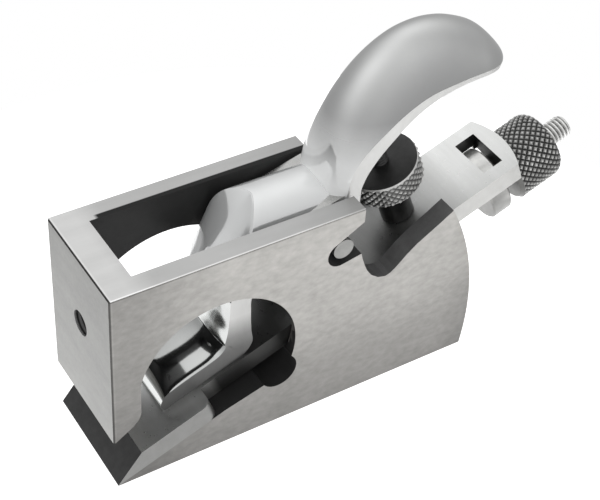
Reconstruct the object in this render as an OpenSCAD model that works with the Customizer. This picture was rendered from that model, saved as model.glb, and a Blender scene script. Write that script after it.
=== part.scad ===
// Small combination plane in its chisel setting: body, cutter, lever cap, adjuster.
// +X to the rear, +Y to the plane's left side, +Z up. Origin in the middle of the sole. Sizes in mm.
// Inside the modules, x is measured from the front face; placed() moves it to the origin.

/* [Body] */
// Width of the body and of the cutter's head
body_w = 28.6; // [20:0.1:45]
// Thickness of each cheek
cheek_t = 4.8; // [3:0.1:8]
// Height of the cheeks over the sole
body_h = 56.2; // [45:0.1:70]
// Thickness of the front wall
front_t = 7.3; // [4:0.1:12]
// Rear end of the tall part of the cheeks
cheek_end = 60.4; // [55:0.1:65]
// Angle of the bed
bed_angle = 21.45; // [12:0.05:30]
// Where the bed's plane meets the sole
bed_start = 0.68; // [0:0.01:3]
// Radius of the round side opening at the outer face of a cheek
opening_r = 19.4; // [15:0.1:21]
// How much wider the side opening is at the inner face
opening_draft = 2.1; // [0:0.1:3]
// Radius of the tapped hole for the nose piece's screw
nose_hole_r = 3; // [1.5:0.1:4]
// Height of the tapped hole
nose_hole_z = 38.3; // [30:0.1:46]

/* [Cutter] */
// Thickness of the cutter
cutter_t = 5.2; // [3:0.1:7]
// Length of the wide head
head_l = 26.8; // [20:0.1:34]
// Length of the ground bevel along the top
bevel_l = 8.3; // [5:0.1:14]
// Width of the shank
shank_w = 18.4; // [12:0.1:18.6]
// Distance from the edge to the shank's rear corners
shank_end = 116.4; // [105:0.1:120]
// Bulge of the rounded rear end
tail_bulge = 2.1; // [0:0.1:4]
// Start of the window for the adjuster's flange
window_s = 109; // [100:0.1:110]
// Length of the window
window_l = 5.4; // [4:0.1:8]
// Width of the window
window_w = 11.3; // [8:0.1:13]

/* [Lever cap] */
// Width of the lever cap
cap_w = 17.2; // [12:0.1:18.4]
// Start of the toe along the cutter
toe_s = 17.6; // [12:0.1:24]
// Top of the toe's sides over the bed
toe_n = 9.7; // [8:0.1:12]
// Radius of the rounded top of barrel and handle, over half the width
crown_r = 8.7; // [8.65:0.01:9.5]
// Height of the barrel's crown
barrel_top = 58; // [55:0.1:61]
// Radius of the handle's hollow underside
handle_r = 32; // [28:0.1:36]
// Radius of the handle's curved back
back_r = 25.5; // [22:0.1:28]
// Radius of the cross pin
pin_r = 2.5; // [1.5:0.1:4]

/* [Adjuster and screws] */
// Depth of the stud's axis under the bed's plane
stud_n = 5; // [4.5:0.05:8]
// Radius of the adjuster stud
stud_r = 2.9; // [2:0.1:4]
// Radius of the adjuster's knurled head
nut_r = 8.5; // [6:0.1:10]
// Radius of the flange that rides in the cutter's window
flange_r = 8.2; // [6:0.1:8.4]
// Distance along the bed to the lever cap screw
screw_s = 87.9; // [80:0.1:92]
// Radius of the lever cap screw's knurled disc
disc_r = 8.9; // [6:0.1:10]
// Radius of the lever cap screw's thread
screw_r = 2; // [1.5:0.1:3]

/* [Hidden] */
$fn = 96;
over = 1;               // how far a cut runs past a face
half_w = body_w / 2;
cavity_w = body_w - 2 * cheek_t;
opening = [25.4, 24.6]; // centre of the side opening
opening_front = 6.6;    // front edge of the side opening
mouth_l = 12;           // how far the mouth runs into the side opening
mouth_top = 20.6;
pad_end = 26.5;         // rear end of the front bed pad
pocket = [41, 16.2];    // rounded corner at the rear end of the recess in the bed
recess_n = 1.2;         // depth of the recess there
pocket_r = 4.6;
heel = [20.4, 10];      // centre of the heel's curve
heel_r = 74;
heel_foot = 94.4;       // rear end of the sole
lip_x = 0.9;            // front end of the sole
nose_z = 14.2;          // underside of the front wall
sole_mid = (lip_x + heel_foot) / 2;
pin = [55.6, 46.8];     // axis of the cross pin
slot_c = [55, 45.6];    // blind end of the pin slot
slot_r = 3.3;
edge_c = 0.4;           // small chamfer on front edges
run_gap = 0.05;         // radial clearance of a running fit
under_c = [92.5, 44.3]; // centre of the handle's underside
back_c = [82.3, 62.9];  // centre of the handle's back
back_ring = back_r - crown_r;
barrel_c = barrel_top - crown_r;
toe_top = toe_n + 1.2;  // crown of the toe over the bed
toe_crown_r = 34;
toe_step = 0.2;         // the toe is this much narrower than the leg
tip_x = 93.5;           // centre of the handle's rounded tip
tip_r = 8.9;
foot_r = 3.9;           // foot of the lever cap screw
disc_n = 17.6;          // underside of the knurled disc over the bed
disc_t = 6.3;
disc_c = 0.55;          // chamfers of the knurled disc
stem_top = 43.6;        // end of the lever cap screw
bore_top = 47;          // end of its threaded hole
stud_s0 = 78;           // stud's inner end
stud_s1 = 136;          // stud's free end
stud_hole = 50;         // enough for the stud's hole to run out of the heel
flange_s = [107.9, 113.2];
nut_s = [116.2, 117.1, 126.8, 129.7]; // face, knurl start, knurl end, rear face
neck_r = 4.7;
turned_c = 0.8;         // chamfers of the stud's end and the nut's front
flange_c = 0.5;
relief_gap = 0.35;      // space between the cutter and the nut with its flange
merge = 0.6;            // overlap of straight and rounded parts of the lever cap
far = 140;              // longer than the whole plane

// Moves children from the front face's x to the origin's.
module placed() { translate([-sole_mid, 0, 0]) children(); }

// Places children in bed coordinates: X along the bed, Z out of it.
module on_bed() { translate([bed_start, 0, 0]) rotate([0, -bed_angle, 0]) children(); }

// Extrudes a side view, drawn in X and Z, to a width centred on the middle plane.
module slab(w) { translate([0, w / 2, 0]) rotate([90, 0, 0]) linear_extrude(w) children(); }

// Cylinder along Y.
module cross_rod(c, r, l) {
    translate([c[0], l / 2, c[1]]) rotate([90, 0, 0]) cylinder(r = r, h = l);
}

// Everything above the bed's plane in the side view.
module above_bed() {
    translate([bed_start, 0]) rotate(bed_angle) translate([-far, 0]) square([2 * far, far]);
}

module body_outline() {
    difference() {
        union() {
            intersection() {
                translate([lip_x, 0]) square([heel_foot - lip_x + over, body_h]);
                translate(heel) circle(r = heel_r, $fn = 192);
            }
            square([front_t, body_h]);
        }
        // open top behind the tall cheeks
        polygon([
            [cheek_end, body_h + over], [cheek_end, 52.5], [60.5, 43.5], [60.9, 41.9], [61.7, 39.6],
            [62.6, 37.5], [63.9, 35.6], [65.8, 34.1], [67.9, 33.5], [69.2, 33.9], [70.5, 34.9],
            [73.3, 37.7], [75.8, 39.8], [78.6, 41.6], [81.6, 43.5], [85.1, 45.9],
            [85.6, 46.8], [heel_foot + over, 46.8], [heel_foot + over, body_h + over]
        ]);
        // slot for the lever cap's pin
        polygon([[53.6, 48.6], [60.6, 52.7], [60.6, 43.4], [55.6, 42.35]]);
        translate(slot_c) circle(r = slot_r);
    }
}

// Side view of what the openings may take away: above the bed, and the recess behind its front pad.
module bed_limit() {
    above_bed();
    translate([bed_start, 0]) rotate(bed_angle) translate([pad_end / cos(bed_angle), 0])
        polygon([[0, 0], [pocket[0] - pad_end, -recess_n], [pocket[0] - pad_end, pocket_r], [0, pocket_r]]);
}

// Mouth behind the front wall's foot.
module mouth() {
    polygon([
        [-over, -over], [-over, nose_z], [0, nose_z], [4.8, 17.5], [6.1, 19.1],
        [opening_front, mouth_top], [opening_front + mouth_l, mouth_top], [opening_front + mouth_l, -over]
    ]);
}

// Round opening of one cheek, a little wider at the inner face.
module cheek_opening() {
    slope = opening_draft / cheek_t;
    intersection() {
        translate([opening[0], -half_w - over, opening[1]]) rotate([-90, 0, 0]) cylinder(
            r1 = opening_r - over * slope, r2 = opening_r + opening_draft + over * slope,
            h = cheek_t + 2 * over, $fn = 144);
        slab(body_w + 2 * over) intersection() {
            translate([opening_front, 0]) square([far, body_h]);
            bed_limit();
        }
    }
}

module body() color([0.72, 0.72, 0.70]) placed() {
    difference() {
        slab(body_w) body_outline();
        slab(body_w + 2 * over) {
            intersection() {
                mouth();
                bed_limit();
            }
            translate(pocket) circle(r = pocket_r);
        }
        for (side = [0, 1]) mirror([0, side, 0]) cheek_opening();
        // space between the cheeks
        slab(cavity_w) intersection() {
            above_bed();
            translate([front_t, 0]) square([heel_foot, body_h + over]);
        }
        // tapped hole of the nose piece's screw
        translate([-over, 0, nose_hole_z]) rotate([0, 90, 0])
            cylinder(r = nose_hole_r, h = front_t + 2 * over, $fn = 48);
        // hole of the adjuster stud
        on_bed() translate([stud_s0, 0, -stud_n]) rotate([0, 90, 0])
            cylinder(r = stud_r, h = stud_hole, $fn = 48);
        // fine chamfers on the front's vertical edges
        for (side = [-1, 1]) translate([0, side * half_w, body_h / 2]) rotate([0, 0, 45])
            cube([edge_c * sqrt(2), edge_c * sqrt(2), body_h + 2 * over], center = true);
        // and on the top front edge
        translate([0, 0, body_h]) rotate([0, 45, 0])
            cube([edge_c, body_w + 2 * over, edge_c], center = true);
    }
}

// Plan of the cutter, drawn along the bed.
module cutter_plan() {
    bulge_r = (pow(shank_w / 2, 2) + pow(tail_bulge, 2)) / (2 * tail_bulge);
    shoulder = 2.2;
    difference() {
        union() {
            translate([0, -half_w]) square([head_l - shoulder, body_w]);
            translate([0, -half_w + shoulder]) square([head_l, body_w - 2 * shoulder]);
            for (side = [-1, 1]) translate([head_l - shoulder, side * (half_w - shoulder)])
                circle(r = shoulder, $fn = 48);
            translate([head_l - shoulder, -shank_w / 2]) square([shank_end - head_l + shoulder, shank_w]);
            intersection() {
                translate([shank_end + tail_bulge - bulge_r, 0]) circle(r = bulge_r, $fn = 144);
                translate([shank_end - over, -shank_w / 2]) square([tail_bulge + over, shank_w]);
            }
        }
        translate([window_s, -window_w / 2]) square([window_l, window_w]);
    }
}

module cutter() color([0.62, 0.63, 0.62]) placed() on_bed() difference() {
    linear_extrude(cutter_t) cutter_plan();
    // ground bevel
    slab(body_w + 2 * over) polygon([
        [0, 0.12], [bevel_l, cutter_t], [bevel_l, cutter_t + over], [-over, cutter_t + over], [-over, 0.12]
    ]);
    // clearance under the tail for the adjuster nut and its flange
    translate([nut_s[0] - relief_gap, 0, -stud_n]) rotate([0, 90, 0])
        cylinder(r = nut_r + relief_gap, h = shank_end + tail_bulge);
    translate([flange_s[0] - relief_gap, 0, -stud_n]) rotate([0, 90, 0])
        cylinder(r = flange_r + relief_gap, h = flange_s[1] - flange_s[0] + 2 * relief_gap);
}

// The lever cap's toe in bed coordinates.
module toe_profile() {
    polygon([
        [toe_s, cutter_t], [toe_s - 0.3, 6.6], [toe_s + 1.6, 8.9], [toe_s + 4.2, toe_top + over],
        [44, toe_top + over], [44, cutter_t]
    ]);
}

// Leg, barrel's underside and the block round the pin, in the side view.
module cap_profile() {
    polygon([
        [30.6, 20.6], [30.7, 40], [30.9, 46.8], [36, 53.2], [36, barrel_top + over], [60, barrel_top + over],
        [63.4, 60], [62.9, 50.5], [62.3, 46.4], [60.6, 43.2], [58, 41.6], [44, 42], [39.6, 41.4],
        [37.2, 38.9], [36.4, 36.4], [36.6, 31], [36.9, 26.4], [37.2, 22.4], [36.4, 20.2]
    ]);
}

module toe() on_bed() intersection() {
    slab(cap_w - toe_step) toe_profile();
    translate([0, 0, toe_top - toe_crown_r]) rotate([0, 90, 0]) cylinder(r = toe_crown_r, h = far, $fn = 192);
}

// Leg and barrel: a round top over straight sides.
module barrel() intersection() {
    slab(cap_w) cap_profile();
    union() {
        translate([0, 0, barrel_c]) rotate([0, 90, 0]) cylinder(r = crown_r, h = far);
        translate([0, -cap_w / 2 - over, 0]) cube([far, cap_w + 2 * over, barrel_c + merge]);
    }
}

// Section of the handle, swept round the centre of its back, less its hollow underside.
module handle_sweep() difference() {
    translate([back_c[0], 0, back_c[1]]) rotate([90, 0, 0]) {
        translate([0, 0, -cap_w]) cylinder(r = back_ring + merge, h = 2 * cap_w, $fn = 192);
        rotate_extrude($fn = 192) translate([back_ring, 0]) circle(r = crown_r);
    }
    translate([under_c[0], cap_w + over, under_c[1]]) rotate([90, 0, 0])
        cylinder(r = handle_r, h = 2 * (cap_w + over), $fn = 192);
}

module handle() intersection() {
    handle_sweep();
    slab(cap_w) square([far, far]);
    union() {
        translate([0, -cap_w, 0]) cube([tip_x + over, 2 * cap_w, far]);
        translate([tip_x, 0, 0]) cylinder(r = tip_r, h = far);
    }
}

module lever_cap() color([0.80, 0.80, 0.79]) placed() difference() {
    union() {
        toe();
        barrel();
        handle();
    }
    // room for the pin
    cross_rod(pin, pin_r, body_w);
    // threaded hole of the lever cap screw
    on_bed() translate([screw_s, 0, disc_n + disc_t]) cylinder(r = screw_r + run_gap, h = bore_top - disc_n - disc_t);
}

module lever_cap_pin() color([0.55, 0.55, 0.54]) placed() cross_rod(pin, pin_r, body_w);

module lever_cap_screw() color([0.50, 0.50, 0.49]) placed() on_bed() translate([screw_s, 0, 0]) {
    translate([0, 0, cutter_t]) cylinder(r = foot_r, h = disc_n - cutter_t);
    translate([0, 0, disc_n]) rotate_extrude() polygon([
        [0, 0], [disc_r - disc_c, 0], [disc_r, disc_c], [disc_r, disc_t - disc_c], [disc_r - disc_c, disc_t],
        [0, disc_t]
    ]);
    translate([0, 0, disc_n + disc_t]) cylinder(r = screw_r, h = stem_top - disc_n - disc_t);
}

module along_stud(s) { on_bed() translate([s, 0, -stud_n]) rotate([0, 90, 0]) children(); }

module adjuster_stud() color([0.60, 0.60, 0.58]) placed() along_stud(stud_s0) rotate_extrude() polygon([
    [0, 0], [stud_r, 0], [stud_r, stud_s1 - stud_s0 - turned_c], [stud_r - turned_c, stud_s1 - stud_s0],
    [0, stud_s1 - stud_s0]
]);

module adjuster_nut() color([0.50, 0.50, 0.49]) placed() along_stud(0) rotate_extrude() polygon([
    [stud_r + run_gap, flange_s[0]], [flange_r - flange_c, flange_s[0]], [flange_r, flange_s[0] + flange_c],
    [flange_r, flange_s[1] - flange_c], [flange_r - flange_c, flange_s[1]], [neck_r, flange_s[1]],
    [neck_r, nut_s[0]], [nut_r - turned_c, nut_s[0]], [nut_r, nut_s[1]], [nut_r, nut_s[2]],
    [nut_r - 0.45, nut_s[2] + 1.45], [nut_r - 1.5, nut_s[2] + 2.5], [nut_r - 2.9, nut_s[3]],
    [stud_r + run_gap, nut_s[3]]
]);

body();
cutter();
lever_cap();
lever_cap_pin();
lever_cap_screw();
adjuster_stud();
adjuster_nut();
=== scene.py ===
import bpy, bmesh, math
from mathutils import Matrix, Vector


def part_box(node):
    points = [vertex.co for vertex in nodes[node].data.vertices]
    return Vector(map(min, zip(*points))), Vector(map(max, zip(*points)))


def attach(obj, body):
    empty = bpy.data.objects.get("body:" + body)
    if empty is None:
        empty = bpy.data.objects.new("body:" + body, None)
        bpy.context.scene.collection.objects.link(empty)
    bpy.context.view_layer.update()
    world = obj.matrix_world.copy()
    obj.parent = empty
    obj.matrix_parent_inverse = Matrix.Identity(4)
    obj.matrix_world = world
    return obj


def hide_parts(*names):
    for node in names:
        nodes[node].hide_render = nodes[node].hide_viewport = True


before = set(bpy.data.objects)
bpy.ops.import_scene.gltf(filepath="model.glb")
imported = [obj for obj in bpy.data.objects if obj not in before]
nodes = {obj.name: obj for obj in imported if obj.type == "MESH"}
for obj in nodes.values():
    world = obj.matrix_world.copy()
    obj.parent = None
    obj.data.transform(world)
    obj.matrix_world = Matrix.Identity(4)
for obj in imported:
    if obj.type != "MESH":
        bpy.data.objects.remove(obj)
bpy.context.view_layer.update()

MM = 0.001
X0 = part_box("body")[0].x          # the front face
BED_X, BETA = 0.68, math.radians(21.45)
CB, SB = math.cos(BETA), math.sin(BETA)


def at(x, y, z):
    """mm from the front face, the middle plane and the sole."""
    return Vector((X0 + x * MM, y * MM, z * MM))


def bed(s, n):
    """(x, z) in mm of a point s along the bed and n above it."""
    return (BED_X + s * CB - n * SB, s * SB + n * CB)


# ---------------------------------------------------------------- materials
def new_mat(name):
    m = bpy.data.materials.new(name)
    m.use_nodes = True
    nt = m.node_tree
    return m, nt, nt.nodes["Principled BSDF"]


def add(nt, kind, **kw):
    n = nt.nodes.new(kind)
    for k, v in kw.items():
        if k in n.inputs:
            n.inputs[k].default_value = v
        else:
            setattr(n, k, v)
    return n


def metal(name, dark, light, rough, metallic=1.0, stretch=(1, 1, 1), scale=400.0, bump=0.05,
          rough_var=0.08, blotch=0.35, grain=900.0):
    """Metal with blotches, fine grain and a stretched tool pattern."""
    m, nt, bsdf = new_mat(name)
    co = add(nt, "ShaderNodeTexCoord")
    mp = add(nt, "ShaderNodeMapping", Scale=stretch)
    nt.links.new(co.outputs["Object"], mp.inputs["Vector"])
    tool = add(nt, "ShaderNodeTexNoise", Scale=scale, Detail=6.0, Roughness=0.6)
    nt.links.new(mp.outputs["Vector"], tool.inputs["Vector"])
    blot = add(nt, "ShaderNodeTexNoise", Scale=70.0, Detail=4.0, Roughness=0.55)
    nt.links.new(co.outputs["Object"], blot.inputs["Vector"])
    fine = add(nt, "ShaderNodeTexNoise", Scale=grain, Detail=3.0, Roughness=0.7)
    nt.links.new(co.outputs["Object"], fine.inputs["Vector"])
    mix = add(nt, "ShaderNodeMix", data_type="FLOAT")
    mix.inputs[0].default_value = blotch
    nt.links.new(tool.outputs["Fac"], mix.inputs[2])
    nt.links.new(blot.outputs["Fac"], mix.inputs[3])
    ramp = add(nt, "ShaderNodeValToRGB")
    ramp.color_ramp.elements[0].position = 0.3
    ramp.color_ramp.elements[1].position = 0.7
    ramp.color_ramp.elements[0].color = (*dark, 1)
    ramp.color_ramp.elements[1].color = (*light, 1)
    nt.links.new(mix.outputs[0], ramp.inputs[0])
    nt.links.new(ramp.outputs[0], bsdf.inputs["Base Color"])
    rr = add(nt, "ShaderNodeMapRange")
    rr.inputs["To Min"].default_value = rough - rough_var
    rr.inputs["To Max"].default_value = rough + rough_var
    nt.links.new(fine.outputs["Fac"], rr.inputs["Value"])
    nt.links.new(rr.outputs["Result"], bsdf.inputs["Roughness"])
    if bump:
        b = add(nt, "ShaderNodeBump", Strength=bump, Distance=0.0002)
        mb = add(nt, "ShaderNodeMix", data_type="FLOAT")
        mb.inputs[0].default_value = 0.5
        nt.links.new(tool.outputs["Fac"], mb.inputs[2])
        nt.links.new(fine.outputs["Fac"], mb.inputs[3])
        nt.links.new(mb.outputs[0], b.inputs["Height"])
        nt.links.new(b.outputs["Normal"], bsdf.inputs["Normal"])
    bsdf.inputs["Metallic"].default_value = metallic
    return m


def object_axis(nt, axis):
    """A socket with the object-space position along axis, in metres."""
    co = add(nt, "ShaderNodeTexCoord")
    dot = add(nt, "ShaderNodeVectorMath", operation="DOT_PRODUCT")
    nt.links.new(co.outputs["Object"], dot.inputs[0])
    dot.inputs[1].default_value = axis
    return dot.outputs["Value"]


def scaled(nt, value, stops):
    """Linear curve through (position in mm, value) stops, as a socket."""
    last = None
    for (p0, v0), (p1, v1) in zip(stops, stops[1:]):
        r = add(nt, "ShaderNodeMapRange")
        r.inputs["From Min"].default_value, r.inputs["From Max"].default_value = p0 * MM, p1 * MM
        r.inputs["To Min"].default_value = v0 if last is None else 0.0
        r.inputs["To Max"].default_value = v1 if last is None else v1 - v0
        nt.links.new(value, r.inputs["Value"])
        if last is None:
            last = r.outputs["Result"]
        else:
            s = add(nt, "ShaderNodeMath", operation="ADD")
            nt.links.new(last, s.inputs[0])
            nt.links.new(r.outputs["Result"], s.inputs[1])
            last = s.outputs[0]
    return last


def along(m, axis, stops, origin=0.0):
    """A curve along an object-space axis, as a socket; stops in mm from origin."""
    nt = m.node_tree
    return scaled(nt, object_axis(nt, axis), [(p + origin, v) for p, v in stops])


def scale_colour(m, factor):
    """Multiplies a material's base colour by a socket."""
    nt = m.node_tree
    sock = nt.nodes["Principled BSDF"].inputs["Base Color"]
    mul = add(nt, "ShaderNodeVectorMath", operation="SCALE")
    nt.links.new(sock.links[0].from_socket, mul.inputs[0])
    nt.links.new(factor, mul.inputs["Scale"])
    nt.links.new(mul.outputs[0], sock)


def shade(m, axis, stops, origin=0.0, least=None):
    """Multiplies the base colour by a curve, which stays above the curve least, if given."""
    nt = m.node_tree
    k = along(m, axis, stops, origin)
    if least:
        most = add(nt, "ShaderNodeMath", operation="MAXIMUM")
        nt.links.new(k, most.inputs[0])
        nt.links.new(along(m, *least), most.inputs[1])
        k = most.outputs[0]
    scale_colour(m, k)


def valley_shade(m, depth, ridge, floor):
    """Multiplies the base colour from ridge to floor down a cut's depth in mm: painted highlight and painted
    shade.
    """
    nt = m.node_tree
    r = add(nt, "ShaderNodeMapRange")
    r.inputs["From Max"].default_value = depth
    r.inputs["To Min"].default_value, r.inputs["To Max"].default_value = ridge, floor
    cut = add(nt, "ShaderNodeAttribute", attribute_name=CUT_DEPTH)
    nt.links.new(cut.outputs["Fac"], r.inputs["Value"])
    scale_colour(m, r.outputs["Result"])


def painted_thread_rings(m, pitch, dark, bright):
    """Multiplies the base colour by rings along X: painted light and shade of a thread's turns."""
    nt = m.node_tree
    co = add(nt, "ShaderNodeTexCoord")
    wave = add(nt, "ShaderNodeTexWave", Scale=math.pi / (10 * pitch * MM), bands_direction="X")
    nt.links.new(co.outputs["Object"], wave.inputs["Vector"])
    r = add(nt, "ShaderNodeMapRange")
    r.inputs["To Min"].default_value, r.inputs["To Max"].default_value = dark, bright
    nt.links.new(wave.outputs["Fac"], r.inputs["Value"])
    scale_colour(m, r.outputs["Result"])


CUT_DEPTH = "cut_depth"           # mesh attribute: how deep a knurl or thread cuts, in mm
UP, ALONG, ACROSS, ALONG_BED = (0, 0, 1), (1, 0, 0), (0, 1, 0), (CB, 0, SB)
FRONT = X0 / MM                   # the front face along X, in mm
BED_START = (FRONT + BED_X) * CB  # the bed's start along the bed, in mm

GROUND = metal("ground_iron", (0.28, 0.275, 0.262), (0.41, 0.40, 0.385), 0.42, 0.75,
               stretch=(0.6, 1, 1), scale=640, bump=0.14, blotch=0.35)
# painted shade: the ground iron darkens towards the sole, towards the front and at the heel
shade(GROUND, UP, [(0, 0.60), (12, 0.72), (28, 1.06), (52, 1.26)])
shade(GROUND, ALONG, [(5, 0.64), (28, 0.98), (85, 1.06), (94, 0.86)], FRONT)
# painted shade and a painted highlight: a dark then a bright line along the front edge, and a dark line under
# the top edge
shade(GROUND, ALONG, [(0.25, 0.30), (0.40, 1.15), (0.8, 1.0)], FRONT)
shade(GROUND, UP, [(55.7, 1.0), (55.95, 0.55)])
FRONT_FACE = metal("ground_front", (0.24, 0.24, 0.235), (0.31, 0.31, 0.30), 0.42, 0.75,
                   stretch=(1, 0.3, 1), scale=260, bump=0.10)
# painted light: the front face lightens towards the sole
shade(FRONT_FACE, UP, [(2, 1.14), (30, 0.96), (40, 0.94), (56, 0.90)])
# painted light: the top faces are a much lighter copy of the ground iron
GROUND_TOP_LIT = metal("ground_top_painted_light", (0.50, 0.50, 0.495), (0.58, 0.58, 0.575), 0.38, 0.75,
                   stretch=(0.15, 1, 1), scale=300, bump=0.06)
# painted light: brighter at the front, darker towards the rear
shade(GROUND_TOP_LIT, ALONG, [(5, 1.3), (11, 1.0), (45, 0.95), (62, 0.80)], FRONT)
# painted highlights and painted dark lines along the top face's edges
shade(GROUND_TOP_LIT, ACROSS, [(-14.1, 1.7), (-13.85, 1.0)])
shade(GROUND_TOP_LIT, ALONG, [(0.25, 0.30), (0.40, 1.25), (0.8, 1.0)], FRONT)
# the paint reaches a little over the far cheek's edge, behind the cavity's front
shade(GROUND_TOP_LIT, ACROSS, [(9.0, 1.0), (9.3, 0.03), (10.6, 0.03), (10.8, 1.0)], 0.0,
      (ALONG, [(8.7, 1.0), (9.5, 0.0)], FRONT))
BLACK = metal("black_paint", (0.012, 0.012, 0.012), (0.022, 0.022, 0.022), 0.42, 0.0, bump=0.25,
              scale=180, blotch=0.5)
# painted shade: the black paint is darkest at the cavity's front and lighter towards its rear
shade(BLACK, ALONG, [(8, 0.35), (30, 1.0), (60, 2.2)], FRONT)
BLACK.node_tree.nodes["Principled BSDF"].inputs["Specular IOR Level"].default_value = 0.3
# painted shade: the tapped hole's steel is near black
TAPPED = metal("tapped_hole", (0.05, 0.05, 0.05), (0.08, 0.08, 0.08), 0.35, 0.6, bump=0.05)
HOLE_R, HOLE_Z, HOLE_PITCH = 3.0, 38.3, 1.0
# painted light and shade of the thread's turns in the hole
painted_thread_rings(TAPPED, HOLE_PITCH, 0.3, 6.0)
RIM = metal("rim_grey", (0.12, 0.12, 0.12), (0.18, 0.18, 0.18), 0.45, 0.5, bump=0.15)
TOOL = metal("tool_steel", (0.52, 0.525, 0.515), (0.60, 0.605, 0.60), 0.30, 0.9,
             stretch=(1, 0.12, 1), scale=500, bump=0.05)
# painted shade and painted reflection: the cutter's top is dark under the lever cap, bright at both ends, and
# lighter towards the far side
shade(TOOL, ALONG_BED, [(8, 1.35), (24, 1.25), (31, 0.5), (40, 0.28),
                          (60, 0.28), (84, 0.42), (97, 0.88), (104, 1.38)], BED_START)
shade(TOOL, ACROSS, [(-9, 0.86), (0, 1.0), (9, 1.08)])
TOOL_SIDE = metal("tool_side", (0.42, 0.42, 0.41), (0.50, 0.50, 0.49), 0.42, 0.8, bump=0.08)
# painted shade: the cutter's side is dark inside the body and lighter at its rear end
shade(TOOL_SIDE, ALONG_BED, [(29, 0.50), (31, 0.10), (60, 0.15), (92, 1.2)], BED_START)
# painted shade: the cutter's bevel is near-black steel
SHADED_BEVEL = metal("ground_bevel_painted_shade", (0.035, 0.035, 0.035), (0.055, 0.055, 0.055), 0.35, 0.9, bump=0.05)
CHROME = metal("polished", (0.58, 0.585, 0.585), (0.64, 0.645, 0.64), 0.06, 1.0, bump=0.012,
               rough_var=0.03, scale=60, blotch=0.7)
# painted light: the handle turns bright and not metallic towards its base, standing in for its reflections
CHROME.node_tree.links.new(along(CHROME, UP, [(58, 0.0), (63, 0.30), (72, 1.0)]),
                           CHROME.node_tree.nodes["Principled BSDF"].inputs["Metallic"])
shade(CHROME, UP, [(57, 1.6), (63, 1.5), (72, 1.0)])
# painted highlight: the barrel is a brighter, half-metallic copy of the polished steel
LIT_BARREL = metal("polished_barrel_painted_highlight", (0.78, 0.79, 0.79), (0.86, 0.87, 0.87), 0.12, 0.5, bump=0.012,
               rough_var=0.03, scale=60, blotch=0.7)
LEG = metal("polished_leg", (0.50, 0.51, 0.505), (0.60, 0.61, 0.60), 0.09, 1.0, bump=0.02,
            rough_var=0.03, scale=60, blotch=0.7)
CAP_SIDE = metal("cap_side", (0.64, 0.64, 0.63), (0.73, 0.73, 0.72), 0.45, 0.6,
                 stretch=(1, 1, 0.3), scale=420, bump=0.06)
# painted shade: the cap's flat sides are dark low down, near the toe, and lighten upwards
shade(CAP_SIDE, UP, [(12, 0.20), (22, 0.22), (26, 0.36), (29, 0.60), (32, 0.86), (60, 1.0), (80, 1.3)])
STUD = metal("stud_steel", (0.70, 0.70, 0.69), (0.82, 0.82, 0.81), 0.30, 0.8, bump=0.05)
# painted highlight on the thread's crests, painted shade in its roots
valley_shade(STUD, 0.5, 1.2, 0.3)
# painted light and shade: a dark steel that brightens steeply towards the flange's top
FLANGE = metal("flange_steel", (0.26, 0.26, 0.255), (0.36, 0.36, 0.35), 0.35, 0.8, bump=0.05)
shade(FLANGE, UP, [(30, 0.90), (36, 0.95), (41, 2.7)])
# painted shade: the nut's neck and the knurled head's front face are near-black steel
SHADED_NECK = metal("neck_steel_painted_shade", (0.11, 0.11, 0.105), (0.16, 0.16, 0.155), 0.35, 0.8, bump=0.05)
# painted light and shade: the knurled steel is darker than the turned steel, with painted highlights on the
# ridges and painted shade in the valleys
KNURL = metal("knurled_steel", (0.20, 0.20, 0.195), (0.34, 0.34, 0.335), 0.30, 0.9, bump=0.05)
valley_shade(KNURL, 0.42, 2.5, 0.08)
TURNED = metal("turned_steel", (0.46, 0.46, 0.45), (0.56, 0.56, 0.55), 0.28, 1.0, bump=0.05)
PIN = metal("pin_steel", (0.22, 0.22, 0.215), (0.30, 0.30, 0.29), 0.35, 0.9, bump=0.05)
# painted shade: the screw's hub and the disc's underside are near-black steel
SHADED_HUB = metal("hub_steel_painted_shade", (0.06, 0.06, 0.06), (0.10, 0.10, 0.10), 0.35, 0.9, bump=0.05)
# painted shade: near-black steel on the cutter window's walls, on the screw disc's top face and on its thread
SHADED_FACE = metal("painted_shade_face", (0.05, 0.05, 0.05), (0.08, 0.08, 0.08), 0.4, 0.8, bump=0.05)


# ---------------------------------------------------------------- mesh helpers
def mesh_object(name, verts, faces, mats, face_mat=None, sharp=32, depth=None):
    me = bpy.data.meshes.new(name)
    me.from_pydata([tuple(v) for v in verts], [], faces)
    if depth:
        me.attributes.new(CUT_DEPTH, "FLOAT", "POINT").data.foreach_set("value", depth)
    for m in mats:
        me.materials.append(m)
    if face_mat:
        for p, k in zip(me.polygons, face_mat):
            p.material_index = k
    bm = bmesh.new()
    bm.from_mesh(me)
    bmesh.ops.remove_doubles(bm, verts=bm.verts, dist=1e-7)
    bmesh.ops.recalc_face_normals(bm, faces=bm.faces)
    bm.to_mesh(me)
    bm.free()
    me.polygons.foreach_set("use_smooth", [True] * len(me.polygons))
    me.set_sharp_from_angle(angle=math.radians(sharp))
    o = bpy.data.objects.new(name, me)
    bpy.context.scene.collection.objects.link(o)
    return o


def join(name, objs):
    """One object from several, keeping each one's materials and sharp edges."""
    bpy.ops.object.select_all(action="DESELECT")
    for o in objs:
        o.select_set(True)
    bpy.context.view_layer.objects.active = objs[0]
    bpy.ops.object.join()
    o = bpy.context.view_layer.objects.active
    o.name = o.data.name = name
    return o


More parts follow.
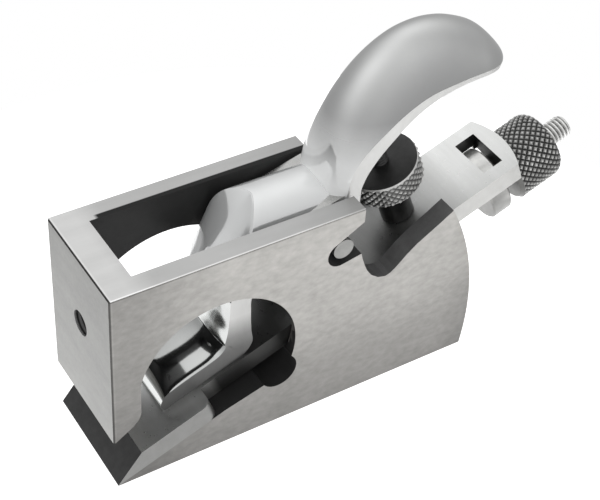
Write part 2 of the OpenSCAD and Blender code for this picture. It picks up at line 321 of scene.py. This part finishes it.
def turned(name, origin, axis, outline, n_t, shape, mats, mat_of, sharp=32):
    """Surface of revolution. outline is [(s, r)], shape(s, r, t) the true radius, mat_of(s, r) a slot."""
    axis = axis.normalized()
    e1 = Vector((0, 1, 0))
    e2 = axis.cross(e1).normalized()
    verts, faces, fm, depth = [], [], [], []
    for s, r in outline:
        for j in range(n_t):
            t = 2 * math.pi * j / n_t
            q = shape(s, r, t) * MM
            depth.append(r - q / MM)
            verts.append(origin + axis * (s * MM) + (e1 * math.cos(t) + e2 * math.sin(t)) * q)
    for i in range(len(outline) - 1):
        k = mat_of((outline[i][0] + outline[i + 1][0]) / 2, (outline[i][1] + outline[i + 1][1]) / 2)
        for j in range(n_t):
            a, b = i * n_t + j, i * n_t + (j + 1) % n_t
            faces.append((a, b, b + n_t, a + n_t))
            fm.append(k)
    for i, flip in ((0, False), (len(outline) - 1, True)):
        if outline[i][1] > 0:
            ring = [i * n_t + j for j in range(n_t)]
            faces.append(ring[::-1] if flip else ring)
            fm.append(mat_of(*outline[i]))
    return mesh_object(name, verts, faces, mats, fm, sharp, depth)


def steps(pts, step):
    """Resamples a polyline so that no piece is longer than step."""
    out = [pts[0]]
    for a, b in zip(pts, pts[1:]):
        n = max(1, math.ceil(math.dist(a, b) / step))
        out += [(a[0] + (b[0] - a[0]) * k / n, a[1] + (b[1] - a[1]) * k / n) for k in range(1, n + 1)]
    return out


def arc(c, r, a0, a1, n):
    return [(c[0] + r * math.cos(math.radians(a0 + (a1 - a0) * k / n)),
             c[1] + r * math.sin(math.radians(a0 + (a1 - a0) * k / n))) for k in range(n + 1)]


def tri(u):
    return 1 - abs(2 * (u - math.floor(u)) - 1)


def knurl(count, r0, depth, s0, s1, fade=0.5):
    pitch = 2 * math.pi * r0 / count

    def f(s, r, t):
        a = min(1, max(0, (s - s0) / fade), max(0, (s1 - s) / fade))
        u, v = count * t / (2 * math.pi) + s / pitch, count * t / (2 * math.pi) - s / pitch
        return r - depth * a * (1 - min(1, 1.15 * min(tri(u), tri(v))))
    return f


def thread(pitch, depth, s0=-1e9, s1=1e9):
    def f(s, r, t):
        if r < 1e-6:
            return r
        a = min(1, max(0, (s - s0) / 0.4), max(0, (s1 - s) / 0.4))
        return r - depth * a * (1 - min(1, 1.35 * tri(s / pitch - t / (2 * math.pi))))
    return f


# ---------------------------------------------------------------- lever cap
W = 8.6                           # half width of handle and barrel, in mm


def crown(y, w, q, facet):
    """Height share at y: round for facet 0, two flats with a soft ridge for facet 1."""
    R = q * w
    y = min(abs(y), w)
    base = math.sqrt(R * R - w * w)
    rnd = (math.sqrt(R * R - y * y) - base) / (R - base)
    soft = 0.5
    flat = 1 - (math.sqrt(y * y + soft * soft) - soft) / (math.sqrt(w * w + soft * soft) - soft)
    return rnd * (1 - facet) + flat * facet


def loft(name, rows, polish, n_crown=40, n_side=4, sharp=32):
    """rows: (inner, edge, crown point, half width, q, facet), points as (x, z) in mm."""
    verts, faces, fm = [], [], []
    for inner, edge, top, w, q, facet in rows:
        ring = [(inner, -w * (1 - 2 * k / 6)) for k in range(1, 6)][::-1]
        pts = []
        for k in range(n_side):
            f = k / n_side
            pts.append(((inner[0] + (edge[0] - inner[0]) * f, inner[1] + (edge[1] - inner[1]) * f), -w))
        for k in range(n_crown + 1):
            y = -w * math.cos(math.pi * k / n_crown)
            h = crown(y, w, q, facet) if w > 1e-6 else 0
            pts.append(((edge[0] + (top[0] - edge[0]) * h, edge[1] + (top[1] - edge[1]) * h), y))
        for k in range(n_side - 1, -1, -1):
            f = k / n_side
            pts.append(((inner[0] + (edge[0] - inner[0]) * f, inner[1] + (edge[1] - inner[1]) * f), w))
        pts += ring
        verts += [at(p[0], y, p[1]) for p, y in pts]
        n = len(pts)
    for i in range(len(rows) - 1):
        for k in range(n):
            a, b = i * n + k, i * n + (k + 1) % n
            faces.append((a, b, b + n, a + n))
            side = k < n_side or n_side + n_crown <= k < 2 * n_side + n_crown
            fm.append(1 if side else 0 if k < n_side + n_crown else 2)
    faces.append(tuple(range(n)))
    fm.append(0)
    faces.append(tuple((len(rows) - 1) * n + k for k in range(n))[::-1])
    fm.append(0)
    return mesh_object(name, verts, faces, [polish, CAP_SIDE, TURNED], fm, sharp)


def smooth_rows(keys, n):
    """Catmull-Rom through the key rows, n steps between each pair."""
    def flat(r):
        return [*r[0], *r[1], *r[2], *r[3:]]

    def unflat(v):
        return (tuple(v[0:2]), tuple(v[2:4]), tuple(v[4:6]), v[6], max(1.0, v[7]), min(1, max(0, v[8])))
    K = [flat(r) for r in keys]
    out = []
    for i in range(len(K) - 1):
        a, b, c, d = K[max(i - 1, 0)], K[i], K[i + 1], K[min(i + 2, len(K) - 1)]
        for j in range(n):
            t = j / n
            out.append(unflat([
                0.5 * (2 * b[m] + (c[m] - a[m]) * t + (2 * a[m] - 5 * b[m] + 4 * c[m] - d[m]) * t * t
                       + (3 * b[m] - a[m] - 3 * c[m] + d[m]) * t ** 3) for m in range(9)]))
    out.append(unflat(K[-1]))
    return out


SWEEP = (90.0, 50.0)


def swept(deg, r):
    a = math.radians(deg)
    return (SWEEP[0] + r * math.cos(a), SWEEP[1] + r * math.sin(a))


def curve(table, x):
    """Smooth curve through a table of (x, value)."""
    t = sorted(table)
    x = min(max(x, t[0][0]), t[-1][0])
    i = next(k for k in range(len(t) - 1) if x <= t[k + 1][0])

    def slope(k):
        a, b = t[max(k - 1, 0)], t[min(k + 1, len(t) - 1)]
        return (b[1] - a[1]) / (b[0] - a[0])
    h = t[i + 1][0] - t[i][0]
    f = (x - t[i][0]) / h
    return (t[i][1] * (1 + 2 * f) * (1 - f) ** 2 + h * slope(i) * f * (1 - f) ** 2
            + t[i + 1][1] * f * f * (3 - 2 * f) + h * slope(i + 1) * f * f * (f - 1))


# the handle's (angle, radius in mm) about SWEEP: back, underside, top of the flat side
BACK = [(190, 35.3), (170, 35.4), (158, 36.0), (147, 37.5), (137, 39.1), (124, 40.6), (112, 40.9),
        (103, 39.9), (95, 38.2), (88, 36.3), (80, 34.2), (72, 32.2), (60, 29.8)]
UNDER = [(190, 28.0), (172, 27.9), (160, 27.6), (150, 26.8), (137, 26.0), (120, 25.9), (100, 25.9),
         (88, 26.2), (79, 26.8), (60, 27.6)]
EDGE = [(190, 31.2), (172, 31.2), (160, 31.7), (152, 31.2), (145, 30.3), (137, 29.4), (125, 28.7),
        (115, 28.2), (100, 27.2), (88, 27.3), (79, 27.9), (60, 28.8)]
BASE_DEG, TIP_DEG, END_DEG = 190, 83.5, 65.2    # where the sweep starts, the tip starts and it ends
CROWN_Q = 1.012                                 # the back's crown radius over the half width
N_SWEEP, N_TIP = 72, 20
handle_rows = []
for k in range(N_SWEEP + 1):
    a = BASE_DEG - (BASE_DEG - TIP_DEG) * k / N_SWEEP
    handle_rows.append((swept(a, curve(UNDER, a)), swept(a, curve(EDGE, a)), swept(a, curve(BACK, a)),
                        W, CROWN_Q, 0))
for k in range(1, N_TIP + 1):
    c = math.cos(math.pi / 2 * k / N_TIP)
    a = TIP_DEG - math.sin(math.pi / 2 * k / N_TIP) * (TIP_DEG - END_DEG)
    e = curve(EDGE, a)
    handle_rows.append((swept(a, curve(UNDER, a)), swept(a, e), swept(a, e + (curve(BACK, a) - e) * c ** 0.9),
                        W * max(c, 0.001), CROWN_Q, 0))
handle = loft("handle_part", handle_rows, CHROME)

# barrel with the sloping two-faced front
BAR_R, BAR_C, BAR_END = 8.7, 49.3, 58     # radius, height of its axis and rear end, in mm


def front_x(y, z):
    """The front's x: it slopes back as it rises, and its two flats meet in a ridge."""
    return 30.6 + 0.945 * (z - 47.7) + (0.6 - 0.06 * (z - 44)) * (math.sqrt(y * y + 0.1) - 0.3)


def barrel_section():
    pts = [(-W, z) for z in (42, 44, 46, 48)]
    a0 = math.asin(W / BAR_R)
    for k in range(49):
        a = -a0 + 2 * a0 * k / 48
        pts.append((BAR_R * math.sin(a), BAR_C + BAR_R * math.cos(a)))
    pts += [(W, z) for z in (48, 46, 44, 42)]
    return pts


sec = barrel_section()
verts, faces, fm = [], [], []
xs = [0, 0.004, 0.02, 0.1, 0.25, 0.5, 0.75, 1]     # rows from front to rear, close at the rounded edge
for f in xs:
    for y, z in sec:
        x0 = front_x(y, z)
        shrink = 1 - (0.02 if f == 0 else 0.005 if f == 0.004 else 0)
        verts.append(at(x0 + (BAR_END - x0) * f, y * shrink, BAR_C + (z - BAR_C) * shrink))
n = len(sec)
for i in range(len(xs) - 1):
    for k in range(n):
        a, b = i * n + k, i * n + (k + 1) % n
        faces.append((a, b, b + n, a + n))
        fm.append(1 if (k < 4 or k >= n - 5) and k != n - 1 else 0)
# front face: strips between matching points of the two sides
half = n // 2
cols = 14
grid = {}
for k in range(half + 1):
    y0, z0 = sec[k]
    y1, z1 = sec[n - 1 - k]
    for c in range(cols + 1):
        f = c / cols
        if c == 0:
            grid[k, c] = k
        elif c == cols:
            grid[k, c] = n - 1 - k
        else:
            y, z = (y0 + (y1 - y0) * f) * 0.98, BAR_C + (z0 - BAR_C) * 0.98
            x = front_x(y, z)
            verts.append(at(x, y, z))
            grid[k, c] = len(verts) - 1
for k in range(half):
    for c in range(cols):
        q = (grid[k, c], grid[k, c + 1], grid[k + 1, c + 1], grid[k + 1, c])
        if len(set(q)) >= 3:
            faces.append(tuple(dict.fromkeys(q)))
            fm.append(0)
barrel = mesh_object("barrel_part", verts, faces, [LIT_BARREL, CAP_SIDE, TURNED], fm, 25)

# toe and leg: the toe's rows are bed points, the leg's are (x, z)
P = bed
keys = [
    (P(17.5, 5.25), P(17.3, 5.6), P(17.2, 5.7), 8.5, 1.15, 0),
    (P(17.7, 5.25), P(17.4, 7.2), P(17.3, 7.8), 8.5, 1.15, 0),
    (P(18.6, 5.25), P(18.6, 8.7), P(19.2, 9.8), 8.5, 1.1, 0),
    (P(20.8, 5.25), P(20.6, 9.5), P(21.6, 11.0), 8.5, 1.1, 0),
    (P(26.0, 5.25), P(26.0, 9.7), P(26.0, 11.3), 8.5, 1.1, 0),
    (P(31.5, 5.25), P(31.2, 9.7), P(31.0, 11.3), 8.5, 1.1, 0),
    (P(35.6, 5.25), P(34.4, 10.0), P(33.7, 11.8), 8.5, 1.1, 0),
    (P(39.0, 5.25), P(36.6, 11.4), P(35.3, 12.9), 8.5, 1.1, 0),
    ((37.2, 22.4), (30.1, 24.4), (29.1, 25.2), 8.55, 1.1, 0),
    ((36.8, 26.4), (30.8, 28.2), (29.6, 28.6), 8.55, 1.1, 0),
    ((36.5, 31.5), (31.1, 32.5), (29.8, 32.5), 8.55, 1.1, 0),
    ((36.6, 36.4), (31.4, 37.5), (29.9, 38.5), 8.55, 1.1, 0.1),
    ((39.0, 40.6), (32.3, 41.5), (30.0, 43.0), 8.55, 1.1, 0.5),
    ((44.0, 43.0), (33.2, 45.0), (30.6, 47.3), 8.55, 1.1, 1.0),
    ((47.0, 45.0), (35.6, 48.0), (33.6, 50.3), 8.55, 1.1, 1.0),
]
leg = loft("leg_part", smooth_rows(keys, 8), LEG)

# block round the pin
prof = [(44, 42.0), (58, 41.6), (60.6, 43.2), (62.3, 46.4), (62.9, 50.5), (63.0, 56), (58, 56), (44, 52)]
BLOCK_W = 8.5
verts = [at(x, y, z) for y in (-BLOCK_W, BLOCK_W) for x, z in prof]
k = len(prof)
faces = [tuple(range(k))[::-1], tuple(range(k, 2 * k))]
faces += [(i, (i + 1) % k, (i + 1) % k + k, i + k) for i in range(k)]
block = mesh_object("block_part", verts, faces, [CHROME, CAP_SIDE, TURNED], [1, 1] + [2] * k)

cap = join("lever_cap_visual", [handle, barrel, leg, block])
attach(cap, "cap")
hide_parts("lever_cap")

# ---------------------------------------------------------------- screws and nut
BED_O = at(BED_X, 0, 0)
S_AX, N_AX = Vector((CB, 0, SB)), Vector((-SB, 0, CB))
STUD_N = 5.0                      # the stud's axis below the bed, in mm
N_TURN = 300                      # points round a knurled piece

# lever cap screw: along the bed's normal
SCREW_S, DISC_R = 87.9, 8.95
disc = steps([(5.2, 0.0), (5.2, 3.6), (5.5, 3.9), (17.6, 3.9)], 3) \
    + steps([(17.6, 3.9), (17.6, 8.3)], 1.5)[1:] \
    + steps([(17.6, 8.3), (18.15, 8.95), (23.3, 8.95), (23.85, 8.45)], 0.16)[1:] \
    + steps([(23.85, 8.45), (23.9, 8.3), (23.9, 2.0)], 1.5)[1:] \
    + steps([(23.9, 2.0), (43.6, 2.0)], 0.1)[1:] + [(43.6, 0.0)]
kn = knurl(31, DISC_R, 0.42, 17.8, 23.6, 0.3)
th = thread(0.8, 0.4, 24.2, 44)
# painted shade on the hub, the disc's flat faces and the thread
screw = turned("lever_cap_screw_visual", BED_O + S_AX * (SCREW_S * MM), N_AX, disc, N_TURN,
               lambda s, r, t: th(s, r, t) if s > 23.95 else kn(s, r, t) if r > 8.2 else r,
               [SHADED_HUB, KNURL, SHADED_FACE],
               lambda s, r: 1 if r > 8.4 and s < 23.8 else 2 if s > 23.7 else 0)
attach(screw, "clamp_screw")
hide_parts("lever_cap_screw")

# adjuster nut
NUT_R = 8.5
nut_o = BED_O - N_AX * (STUD_N * MM)
rear = arc((126.4, 5.3), 3.2, 90, 22, 10)
nut_line = [(107.9, 3.0)] + steps([(107.9, 3.0), (107.9, 7.95), (108.3, 8.35), (112.8, 8.35), (113.2, 7.95),
                                   (113.2, 4.7), (116.2, 4.7), (116.2, 7.7), (117.1, 8.5)], 1.0)[1:] \
    + steps([(117.1, 8.5), (126.4, 8.5)] + rear[1:] + [(129.7, 5.4)], 0.16)[1:] \
    + steps([(129.7, 5.4), (129.7, 2.95)], 0.8)[1:]
kn2 = knurl(30, NUT_R, 0.48, 117.1, 129.6, 0.35)
# painted shade on the neck and the knurled head's front face
nut = turned("adjuster_nut_visual", nut_o, S_AX, nut_line, N_TURN,
             lambda s, r, t: kn2(s, r, t) if s > 117.0 and r > 4.9 else r,
             [FLANGE, KNURL, SHADED_NECK], lambda s, r: 1 if s > 117.0 else 2 if s > 113.5 else 0)
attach(nut, "nut")
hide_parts("adjuster_nut")

# adjuster stud
th2 = thread(1.0, 0.5, 84, 135.8)
stud_line = [(90, 0.0), (90, 2.9)] + steps([(90, 2.9), (135.2, 2.9), (136.0, 2.1)], 0.1)[1:] + [(136.0, 0.0)]
stud = turned("adjuster_stud_visual", nut_o, S_AX, stud_line, 72, th2, [STUD], lambda s, r: 0, 60)
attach(stud, "frame")
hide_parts("adjuster_stud")


# ---------------------------------------------------------------- carried-over CAD nodes
def dress(name, mats, pick):
    o = nodes[name]
    o.data.materials.clear()
    for m in mats:
        o.data.materials.append(m)
    for p in o.data.polygons:
        p.material_index = pick(p)
    return o


def mm(p):
    return ((p.center.x - X0) / MM, p.center.y / MM, p.center.z / MM)


# body: outside of the cheeks, half width of the cavity, just below the top face, in mm
CHEEK_Y, CAVITY_Y, TOP_Z = 14.2, 9.6, 55.9


def body_mat(p):
    x, y, z = mm(p)
    nx, ny, nz = p.normal
    if x < 9 and math.hypot(y, z - HOLE_Z) < HOLE_R + 0.05 and abs(nx) < 0.5:
        return 5
    n_bed = -(x - BED_X) * SB + z * CB
    if abs(y) > CHEEK_Y and abs(ny) > 0.9:
        return 0
    if nz > 0.9 and z > TOP_Z:
        return 1
    if nx < -0.9 and x < 0.1:
        return 4
    if abs(y) < CAVITY_Y and n_bed > -0.2 and x > 7:
        return 2
    if 9 < abs(y) < 14.25 and 40 < x < 61 and 36 < z < 52 and abs(ny) < 0.5:
        return 2
    if x > 60 and z > 30 and nz > -0.2:
        return 3
    if 6 < x < 46 and z > 4:
        return 2
    return 0


dress("body", [GROUND, GROUND_TOP_LIT, BLACK, RIM, FRONT_FACE, TAPPED], body_mat)


CUTTER_TOP, BEVEL_END = 5.1, 8.4  # just under the cutter's top, and where its bevel ends, in mm


def cutter_mat(p):
    x, y, z = mm(p)
    s, n = (x - BED_X) * CB + z * SB, -(x - BED_X) * SB + z * CB
    if n > CUTTER_TOP:
        return 0
    # the walls of the cutter's window carry painted shade
    if abs(y) < 5.8 and 106 < s < 116 and abs(p.normal.dot(N_AX)) < 0.5 and abs(y) + s < 120.2:
        return 3
    if s < BEVEL_END and p.normal.dot(N_AX) > 0.3:
        return 2
    return 1


dress("cutter", [TOOL, TOOL_SIDE, SHADED_BEVEL, SHADED_FACE], cutter_mat)
dress("lever_cap_pin", [PIN], lambda p: 0)

# ---------------------------------------------------------------- stage, lights, camera
FLOOR_R, FLOOR_N = 0.125, 64
me = bpy.data.meshes.new("floor")
floor_angles = [2 * math.pi * k / FLOOR_N for k in range(FLOOR_N)]
floor_rim = [(FLOOR_R * math.cos(a), FLOOR_R * math.sin(a), 0) for a in floor_angles]
me.from_pydata(floor_rim, [], [tuple(range(FLOOR_N))])
floor = bpy.data.objects.new("floor", me)
floor.location.z = -0.0002
bpy.context.scene.collection.objects.link(floor)
fm_, nt, bsdf = new_mat("floor_paper")
bsdf.inputs["Base Color"].default_value = (0.8, 0.8, 0.8, 1)
bsdf.inputs["Roughness"].default_value = 0.9
bsdf.inputs["Emission Color"].default_value = (1, 1, 1, 1)
bsdf.inputs["Emission Strength"].default_value = 0.85
me.materials.append(fm_)

world = bpy.data.worlds.new("studio")
bpy.context.scene.world = world
world.use_nodes = True
wt = world.node_tree
bg = wt.nodes["Background"]
co = add(wt, "ShaderNodeTexCoord")
# the camera's place in mm, its turn about Z, its height angle and its roll in degrees
CAMERA_AT = (-88.4, -205.0, 259.3)
CAMERA_TURN, CAMERA_RISE, CAMERA_ROLL = -34.807, 41.832, 4.487

# plain soft studio light: an even pale room and three broad lights in the usual places,
# as (turn from the camera's side, height, strength) with angles in degrees
ROOM_LIGHT, LIGHT_NARROWNESS = 0.45, 4
STUDIO = {
    "key": (-45, 45, 0.6),
    "fill": (45, 30, 0.3),
    "back": (180, 60, 0.6),
}
camera_side = CAMERA_TURN - 90
total = add(wt, "ShaderNodeCombineXYZ", X=ROOM_LIGHT, Y=ROOM_LIGHT, Z=ROOM_LIGHT).outputs[0]
for turn, height, strength in STUDIO.values():
    a, e = math.radians(camera_side + turn), math.radians(height)
    dot = add(wt, "ShaderNodeVectorMath", operation="DOT_PRODUCT")
    wt.links.new(co.outputs["Generated"], dot.inputs[0])
    dot.inputs[1].default_value = (math.cos(e) * math.cos(a), math.cos(e) * math.sin(a), math.sin(e))
    fall = add(wt, "ShaderNodeMath", operation="MULTIPLY_ADD")
    wt.links.new(dot.outputs["Value"], fall.inputs[0])
    fall.inputs[1].default_value = LIGHT_NARROWNESS
    fall.inputs[2].default_value = -LIGHT_NARROWNESS
    glow = add(wt, "ShaderNodeMath", operation="EXPONENT")
    wt.links.new(fall.outputs[0], glow.inputs[0])
    mul = add(wt, "ShaderNodeVectorMath", operation="MULTIPLY_ADD")
    wt.links.new(glow.outputs[0], mul.inputs[0])
    mul.inputs[1].default_value = (strength, strength, strength)
    wt.links.new(total, mul.inputs[2])
    total = mul.outputs[0]
wt.links.new(total, bg.inputs["Color"])
bg.inputs["Strength"].default_value = 1.0
seen = add(wt, "ShaderNodeBackground")
seen.inputs["Color"].default_value = (1, 1, 1, 1)
path = add(wt, "ShaderNodeLightPath")
mixw = add(wt, "ShaderNodeMixShader")
wt.links.new(path.outputs["Is Camera Ray"], mixw.inputs[0])
wt.links.new(bg.outputs[0], mixw.inputs[1])
wt.links.new(seen.outputs[0], mixw.inputs[2])
wt.links.new(mixw.outputs[0], wt.nodes["World Output"].inputs["Surface"])

# focal length in picture widths, and the film's width in mm
FOCAL, FILM = 1489.059 / 600, 36
cam_data = bpy.data.cameras.new("camera")
cam_data.lens, cam_data.sensor_width, cam_data.sensor_fit = FOCAL * FILM, FILM, "HORIZONTAL"
cam_data.clip_start, cam_data.clip_end = 0.01, 20
cam = bpy.data.objects.new("camera", cam_data)
bpy.context.scene.collection.objects.link(cam)
rot = Matrix.Rotation(math.radians(CAMERA_TURN), 4, "Z") \
    @ Matrix.Rotation(math.radians(90 - CAMERA_RISE), 4, "X") \
    @ Matrix.Rotation(math.radians(CAMERA_ROLL), 4, "Z")
cam.matrix_world = Matrix.Translation(at(*CAMERA_AT)) @ rot
bpy.context.scene.camera = cam
bpy.context.scene.view_settings.view_transform = "Standard"
bpy.context.scene.view_settings.look = "None"
